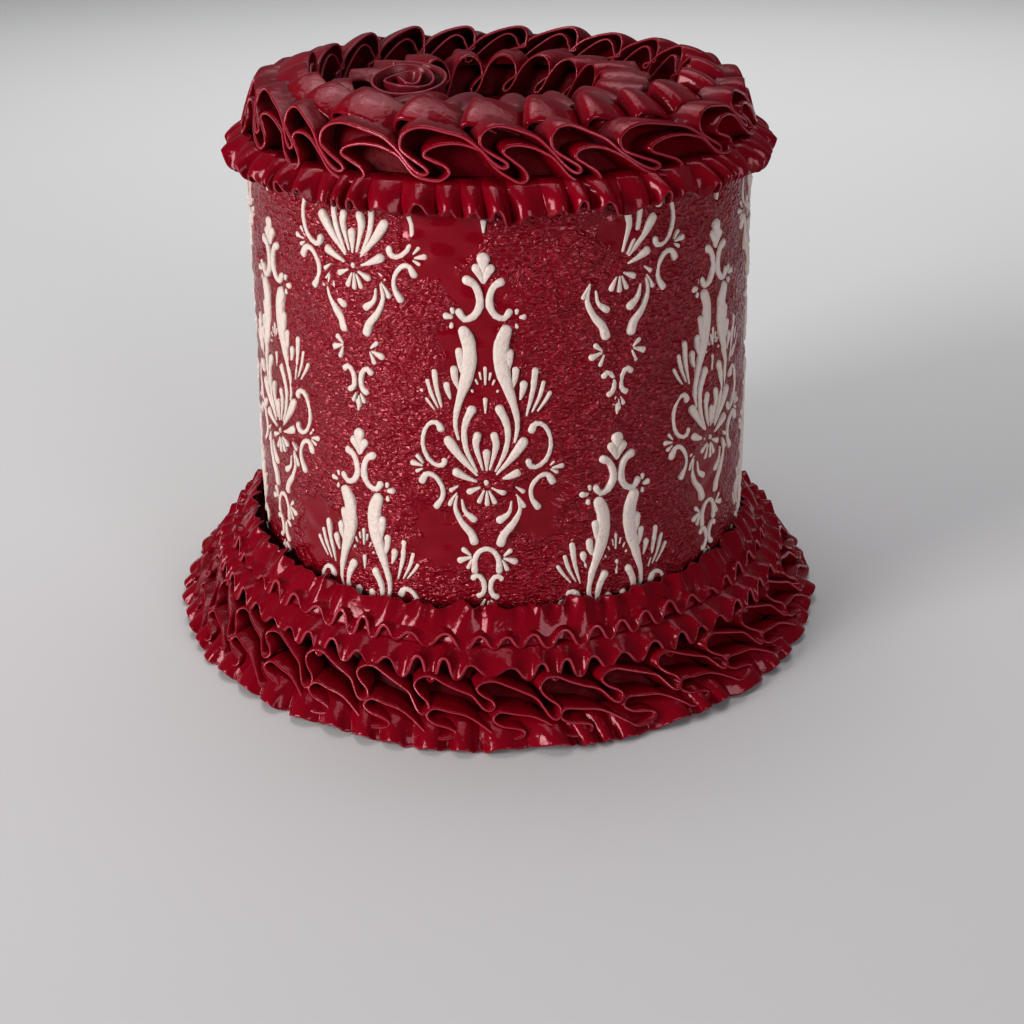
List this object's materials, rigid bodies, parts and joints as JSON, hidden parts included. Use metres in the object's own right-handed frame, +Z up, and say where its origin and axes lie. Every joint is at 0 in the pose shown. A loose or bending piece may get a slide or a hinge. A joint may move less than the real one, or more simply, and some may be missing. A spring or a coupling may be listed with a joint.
{
  "type": "lambeth cake",
  "caption": "Tall round celebration cake in glossy wine-red buttercream with a raised cream damask pattern, a piped ruffle border at its foot and a ruffled crown on its top edge.",
  "frame": {"origin": "on the cake's axis, in the flat plane that it stands on", "axes": "+Z up along the cake's axis; -Y is the front, the side that the picture shows; +X to the right seen from the front"},
  "size_m": [0.213, 0.2137, 0.1706],
  "materials": {
    "wine_icing": "glossy smoothed buttercream, slightly pitted",
    "piped_icing": "glossy piped buttercream",
    "cream_icing": "matt cream icing, raised"
  },
  "bodies": {
    "root": {"cake_body": "wine_icing", "neck_ruffle": "piped_icing", "upper_wave_ruffle": "piped_icing", "lower_wave_ruffle": "piped_icing", "skirt_ruffle": "piped_icing", "foot_ruffle": "piped_icing", "collar_ruffle": "piped_icing", "rim_ruffle": "piped_icing", "crown_ruffle": "piped_icing", "crown_rosette": "piped_icing"}
  },
  "joints": []
}
